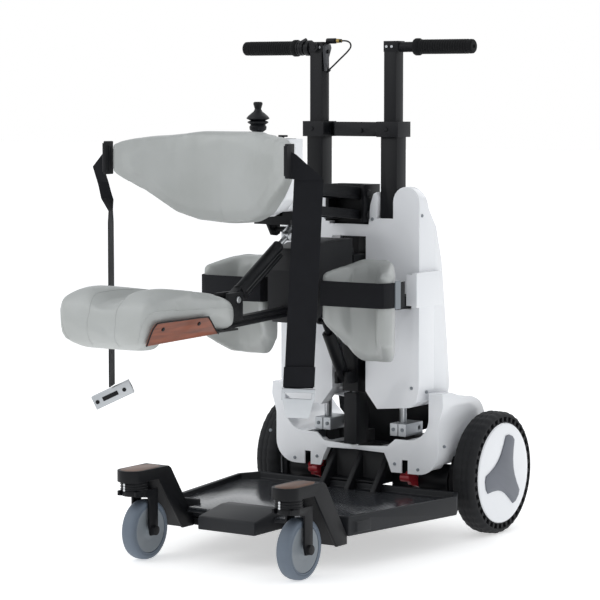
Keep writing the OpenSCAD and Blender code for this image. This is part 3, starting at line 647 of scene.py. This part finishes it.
class STANDLIFT_OT_base_shells(bpy.types.Operator):
    """Lower white covers, lift drive and guide rods"""

    bl_idname = "stand_lift.base_shells"
    bl_label = "Base Covers"

    def execute(self, context):
        sizes = context.scene.stand_lift_sizes
        rounded("base_shell", white(), "base", sizes.shell_round * 1.5, 4)
        rounded("guide_rods", steel(), "base", 0.0006)
        rounded("rod_clamps", cast(), "base", 0.0012, 3)
        rounded("lift_drive", black(), "base", 0.002, 3)
        rounded("lift_screw", steel(), "base", 0.0005)
        rounded("drive_units", paint(), "base", 0.002, 3)
        rounded("battery_pack", grey(), "base", 0.003, 3)
        rounded("base_frame", paint(), "base", sizes.edge_round)
        bm = bmesh.new()
        for s, _ in both_sides():
            for x, z in ((101, 158), (160, 150), (226, 206)):
                add_screw(bm, at(s * x, 507.6, z), Vector((0, -1, 0)), 0.0035)
            for x in (86, 109):
                add_screw(bm, at(s * x, 525.6, 230), Vector((0, -1, 0)), 0.004)
        piece("cover_screws", bm, grey(), "base")
        return {"FINISHED"}


class STANDLIFT_OT_tray(bpy.types.Operator):
    """Foot tray with its mat, heel guard and caster arms"""

    bl_idname = "stand_lift.tray"
    bl_label = "Foot Tray"

    def execute(self, context):
        sizes = context.scene.stand_lift_sizes
        rounded("foot_tray", tray_paint(), "base", 0.003, 3)
        rounded("tray_mat", mat_rubber(), "base", 0.001)
        rounded("heel_guard", black(), "base", sizes.edge_round)
        rounded("caster_arm_left", paint(), "base", 0.0035, 3)
        rounded("caster_arm_right", paint(), "base", 0.0035, 3)
        rounded("arm_inlays", light_wood(), "base", 0.0004)
        return {"FINISHED"}


class STANDLIFT_OT_casters(bpy.types.Operator):
    """Front casters"""

    bl_idname = "stand_lift.casters"
    bl_label = "Casters"

    def execute(self, context):
        for s, side in both_sides():
            rounded("caster_fork_" + side, paint(), "caster_swivel_" + side, 0.0015, 2)
            wheel = "caster_wheel_" + side
            centre = at(s * 192, 0, 62.5)
            bm = bmesh.new()
            add_lathe(bm, [(-12, 47), (-16, 48.2), (-16, 51.5), (-15, 52.2), (-15.9, 53), (-15.4, 57),
                           (-13, 60.2), (-8, 62), (0, 62.5), (8, 62), (13, 60.2), (15.4, 57), (15.9, 53),
                           (15, 52.2), (16, 51.5), (16, 48.2), (12, 47), (-12, 47)], centre, "X", 72)
            piece("caster_tyre_looks_" + side, bm, grey_rubber(), wheel,
                  stands_for=("caster_tyre_" + side,))
            bm = bmesh.new()
            add_lathe(bm, [(-18.5, 6), (-18.5, 10), (-17, 11), (-13.5, 12), (-12.5, 15), (-12, 24), (-13.5, 27),
                           (-13.5, 40), (-14.5, 42), (-14.5, 47), (-12, 48), (12, 48), (14.5, 47), (14.5, 42),
                           (13.5, 40), (13.5, 27), (12, 24), (12.5, 15), (13.5, 12), (17, 11), (18.5, 10),
                           (18.5, 6)], centre, "X", 64)
            piece("caster_hub_looks_" + side, bm, grey(), wheel,
                  stands_for=("caster_hub_" + side,))
            bm = bmesh.new()
            for z in (150.5, 156, 161.5):
                race = [(0, 20), (0, 28), (1.2, 28.6), (2.6, 28), (2.6, 20)]
                add_lathe(bm, race, at(s * 192, -35, z), "Z", 40)
            piece("caster_races_" + side, bm, paint(), "base")
            # Three small bright steel studs on the front of each caster's races are painted highlights standing
            # in for glints seen there, not real rivets; the races themselves stay black.
            bm = bmesh.new()
            for z in (151.8, 157.3, 162.8):
                add_rod(bm, at(s * 192 - 3, -60, z), at(s * 192 - 3, -64.6, z), 0.0026)
            piece("race_painted_glints_" + side, bm, steel(), "base")
        return {"FINISHED"}


class STANDLIFT_OT_drive_wheels(bpy.types.Operator):
    """Drive wheels with cellular tyres and a star on each disc"""

    bl_idname = "stand_lift.drive_wheels"
    bl_label = "Drive Wheels"

    def execute(self, context):
        cells = context.scene.stand_lift_sizes.tyre_cells
        for s, side in both_sides():
            body = "drive_wheel_" + side
            centre = at(0, 662, 134)
            bm = bmesh.new()
            half = [(230, 108), (228.4, 112), (227.4, 118), (229, 124), (233.5, 129.6), (240, 132.9),
                    (247, 134), (251, 134), (253, 132.9), (255, 134), (263, 134), (265, 132.9), (267, 134),
                    (272, 133.8), (277.5, 132.2), (281.4, 129.2), (283.2, 126), (283.4, 122.4), (276, 121.6),
                    (276, 112.6), (283.2, 112), (282.6, 108.5), (230, 108)]
            add_lathe(bm, [(s * a, r) for a, r in half], centre, "X", 152)
            for v in bm.verts:
                y, z = v.co.y - centre.y, v.co.z - centre.z
                r = math.hypot(y, z)
                if r > TREAD_START:
                    turn = math.atan2(z, y)
                    wave = TREAD_DEPTH * math.cos(turn * cells) - TREAD_DEPTH
                    v.co.y += y / r * wave
                    v.co.z += z / r * wave
            for k in range(cells):
                turn = math.tau * k / cells
                made = bmesh.ops.create_cube(bm, size=1)["verts"]
                bmesh.ops.scale(bm, vec=(0.0072, 0.0078, 0.0118), verts=made)
                spot = Matrix.Translation(centre) @ Matrix.Rotation(turn, 4, "X") @ Matrix.Translation(
                    (s * 0.2792, 0, 0.1171))
                bmesh.ops.transform(bm, matrix=spot, verts=made)
            piece("drive_tyre_looks_" + side, bm, rubber(), body,
                  stands_for=("wheel_tyre_" + side,))
            bm = bmesh.new()
            disc = [(235, 9.1), (235, 30), (249, 40), (249, 100), (233, 101), (230, 109.6), (282.8, 109.8),
                    (285.4, 108), (286.2, 104.5), (286, 60), (286, 0)]
            add_lathe(bm, [(s * a, r) for a, r in disc], centre, "X", 96)
            piece("wheel_disc_looks_" + side, bm, white(), body,
                  stands_for=("wheel_hub_" + side,))
            bm = bmesh.new()
            rim = []
            outline = ((-14, 81), (-6, 84.5), (6, 84.5), (14, 81), (21, 62), (36, 46), (60, 40), (84, 46),
                       (99, 62))
            for arm in (72, 192, 312):
                for turn, r in outline:
                    a = math.radians(arm + turn)
                    spot = Vector((s * 0.2862, r / 1000 * math.cos(a), r / 1000 * math.sin(a)))
                    rim.append(bm.verts.new(centre + spot))
            face = bm.faces.new(rim)
            out = bmesh.ops.extrude_face_region(bm, geom=[face])["geom"]
            top = [g for g in out if isinstance(g, bmesh.types.BMVert)]
            bmesh.ops.translate(bm, vec=(s * 0.0022, 0, 0), verts=top)
            cap = [g for g in out if isinstance(g, bmesh.types.BMFace)]
            bmesh.ops.inset_region(bm, faces=cap, thickness=0.006, depth=0.0)
            bmesh.ops.translate(bm, vec=(s * 0.0012, 0, 0), verts=list({v for f in cap for v in f.verts}))
            piece("wheel_star_" + side, bm, grey_star(), body, angle=15)
        for s, side in both_sides():
            rounded("release_lever_" + side, red(), "release_" + side, 0.0015, 2)
        return {"FINISHED"}


def grey_star():
    return finish("star_grey", "6b6f78", "5e626a", 0.4, 0.06, metal=0.2, scale=700, bump=0.1, depth=0.0002)


class STANDLIFT_OT_handles(bpy.types.Operator):
    """Attendant's handles with the brake lever and its cable"""

    bl_idname = "stand_lift.handles"
    bl_label = "Handles"

    def execute(self, context):
        sizes = context.scene.stand_lift_sizes
        for s, side in both_sides():
            post = "handle_post_" + side
            rounded("inner_mast_" + side, paint(), post, sizes.edge_round)
            bm = bmesh.new()
            profile = [(150, 0), (150, 17.4), (152, 18.4), (160, 18.4), (163, 16.6), (164, 15.2)]
            for k in range(19):
                x = 166 + k * 6.1
                profile += [(x, 15.6), (x + 2.6, 15.6), (x + 3.4, 14.8), (x + 5.2, 14.8)]
            profile += [(284, 15.4), (290, 15), (292.4, 13), (292.6, 4), (288, 3.6), (288, 0)]
            add_lathe(bm, [(s * a, r) for a, r in profile], at(0, 508, 1058), "X", 40)
            piece("grip_looks_" + side, bm, foam(), post, stands_for=("grip_" + side,))
            bm = bmesh.new()
            for x in (99, 86):
                add_screw(bm, at(s * x, 493.6, 1059), Vector((0, -1, 0)), 0.0032)
            piece("clamp_screws_" + side, bm, steel(), post)
        rounded("brake_lever", grey_lever(), "brake", 0.0015, 3)
        path = [at(*p) for p in (
            (-44, 514, 1073), (-34, 514, 1073), (-27, 514, 1072), (-21, 514, 1069), (-18, 514, 1064),
            (-19, 514, 1058), (-25, 514, 1051), (-34, 514, 1043), (-44, 514, 1035), (-54, 514.5, 1027),
            (-64, 515, 1019), (-73, 516, 1012.5))]
        tube("brake_cable_looks", smooth_path(path, 5), 0.0018, black(), "handle_post_left", 3,
             stands_for=("brake_cable",))
        bm = bmesh.new()
        ferrule = [(-53, 0), (-53, 4.6), (-48, 4.6), (-46, 4), (-41, 2.4), (-41, 0)]
        add_lathe(bm, ferrule, at(0, 514, 1073), "X", 24)
        piece("cable_ends", bm, brass(), "handle_post_left")
        bm = bmesh.new()
        add_rod(bm, at(-96, 494, 1060), at(-96, 487, 1060), 0.0098, sides=32)
        add_rod(bm, at(-96, 487, 1060), at(-96, 485.6, 1060), 0.0052, sides=6)
        add_rod(bm, at(-131, 508, 1076), at(-131, 490, 1070), 0.004)
        for x in (-148, -141, -122):
            ring = [(x - 2.4, 0), (x - 2.4, 15), (x - 1.6, 16.4), (x + 1.6, 16.4), (x + 2.4, 15), (x + 2.4, 0)]
            add_lathe(bm, ring, at(0, 508, 1058), "X", 40)
        piece("brake_perch", bm, black(), "handle_post_left")
        return {"FINISHED"}


def grey_lever():
    return finish("lever_grey", "3a3c40", "2e3033", 0.35, 0.08, metal=0.5, scale=600, bump=0.1,
                  depth=0.0002)


def brass():
    return finish("adjuster_yellow", "a58d4a", "83703a", 0.35, 0.08, metal=0.6, scale=500, bump=0.1,
                  depth=0.0002)


class STANDLIFT_OT_linkage(bpy.types.Operator):
    """Lift hub, parallel arms, carrier, strut and actuator"""

    bl_idname = "stand_lift.linkage"
    bl_label = "Lift Linkage"

    def execute(self, context):
        sizes = context.scene.stand_lift_sizes
        rounded("hub_housing", black(), "lift_hub", 0.008, 4)
        rounded("strut_tube", paint(), "strut_lower", 0.001)
        rounded("strut_rod", steel(), "strut_upper", 0.0008)
        rounded("actuator_tube", paint(), "actuator_lower", 0.001)
        rounded("actuator_rod", paint(), "actuator_upper", 0.0006)
        rounded("arm_upper", paint(), "upper_arm", sizes.edge_round)
        rounded("arm_lower", paint(), "lower_arm", sizes.edge_round)
        rounded("carrier", paint(), "chest_carrier", sizes.edge_round)
        side_bolts("strut_bolts", 17.2, ((40, 545),), 0.007, steel(), "lift_hub")
        side_bolts("carrier_bolts", 45.5, ((215, 770), (215, 724), (262, 676)), 0.008, paint(), "chest_carrier")
        side_bolts("yoke_bolts", 49, ((480, 744), (480, 698)), 0.009, paint(), "column")
        return {"FINISHED"}


class STANDLIFT_OT_stage(bpy.types.Operator):
    """Pale floor, soft studio light and camera"""

    bl_idname = "stand_lift.stage"
    bl_label = "Studio"

    def execute(self, context):
        scene = context.scene
        bm = bmesh.new()
        bmesh.ops.create_grid(bm, x_segments=1, y_segments=1, size=30)
        mesh = bpy.data.meshes.new("studio_floor")
        bm.to_mesh(mesh)
        bm.free()
        floor = bpy.data.objects.new("studio_floor", mesh)
        scene.collection.objects.link(floor)
        mat = bpy.data.materials.new("studio_floor")
        mat.use_nodes = True
        shader = mat.node_tree.nodes["Principled BSDF"]
        shader.inputs["Base Color"].default_value = (*scene.stand_lift_colours.floor, 1)
        shader.inputs["Roughness"].default_value = 0.7
        shader.inputs["Emission Color"].default_value = (1, 1, 1, 1)
        shader.inputs["Emission Strength"].default_value = 0.5
        mesh.materials.append(mat)
        world = bpy.data.worlds.new("studio")
        world.use_nodes = True
        sky = world.node_tree
        soft = sky.nodes["Background"]
        soft.inputs["Color"].default_value = (0.96, 0.98, 1, 1)
        paper = sky.nodes.new("ShaderNodeBackground")
        paper.inputs["Color"].default_value = (1, 1, 1, 1)
        paper.inputs["Strength"].default_value = 1.0
        path = sky.nodes.new("ShaderNodeLightPath")
        blend = sky.nodes.new("ShaderNodeMixShader")
        sky.links.new(path.outputs["Is Camera Ray"], blend.inputs["Fac"])
        level = sky.nodes.new("ShaderNodeMapRange")
        level.inputs["To Min"].default_value = 0.6
        level.inputs["To Max"].default_value = 0.95
        sky.links.new(path.outputs["Is Glossy Ray"], level.inputs["Value"])
        sky.links.new(level.outputs["Result"], soft.inputs["Strength"])
        sky.links.new(soft.outputs["Background"], blend.inputs[1])
        sky.links.new(paper.outputs["Background"], blend.inputs[2])
        sky.links.new(blend.outputs["Shader"], sky.nodes["World Output"].inputs["Surface"])
        scene.world = world
        lamps = (("key_light", (-1.8, -2.6, 3.2), 2.6, 42), ("fill_light", (3.4, -1.4, 2.2), 2.2, 6),
                 ("back_light", (0.6, 3.2, 2.8), 2.6, 22))
        for name, spot, size, power in lamps:
            light = bpy.data.lights.new(name, "AREA")
            light.size = size
            light.energy = power
            lamp = bpy.data.objects.new(name, light)
            lamp.location = spot
            lamp.rotation_euler = (Vector((0, 0, 0.5)) - Vector(spot)).to_track_quat("-Z", "Y").to_euler()
            scene.collection.objects.link(lamp)
        lens = bpy.data.cameras.new("studio_camera")
        lens.lens = 144.32
        lens.sensor_width = 36
        camera = bpy.data.objects.new("studio_camera", lens)
        camera.location = (2.8142, -3.8998 - MID, 0.9666)
        camera.rotation_euler = (math.radians(85.01), 0, math.radians(33.89))
        scene.collection.objects.link(camera)
        scene.camera = camera
        scene.view_settings.view_transform = "Standard"
        return {"FINISHED"}


STEPS = ("stage", "tray", "casters", "drive_wheels", "base_shells", "column", "linkage", "seat", "chest_pad",
         "knees", "belts", "handles")


class STANDLIFT_PT_panel(bpy.types.Panel):
    """Lists the build steps and their settings"""

    bl_label = "Stand Lift"
    bl_idname = "STANDLIFT_PT_panel"
    bl_space_type = "VIEW_3D"
    bl_region_type = "UI"
    bl_category = "Stand Lift"

    def draw(self, context):
        layout = self.layout
        for field in ("pad_swell", "belt_thickness", "edge_round", "shell_round", "tyre_cells"):
            layout.prop(context.scene.stand_lift_sizes, field)
        layout.prop(context.scene.stand_lift_colours, "floor")
        for step in STEPS:
            layout.operator("stand_lift." + step)


CLASSES = (StandLiftSizes, StandLiftColours, STANDLIFT_OT_stage, STANDLIFT_OT_tray, STANDLIFT_OT_casters,
           STANDLIFT_OT_drive_wheels, STANDLIFT_OT_base_shells, STANDLIFT_OT_column, STANDLIFT_OT_linkage,
           STANDLIFT_OT_seat, STANDLIFT_OT_chest_pad, STANDLIFT_OT_knees, STANDLIFT_OT_belts,
           STANDLIFT_OT_handles, STANDLIFT_PT_panel)


def register():
    for cls in CLASSES:
        bpy.utils.register_class(cls)
    bpy.types.Scene.stand_lift_sizes = PointerProperty(type=StandLiftSizes)
    bpy.types.Scene.stand_lift_colours = PointerProperty(type=StandLiftColours)


def unregister():
    del bpy.types.Scene.stand_lift_colours
    del bpy.types.Scene.stand_lift_sizes
    for cls in reversed(CLASSES):
        bpy.utils.unregister_class(cls)


def main():
    register()
    for step in STEPS:
        getattr(bpy.ops.stand_lift, step)()


if __name__ == "__main__":
    main()
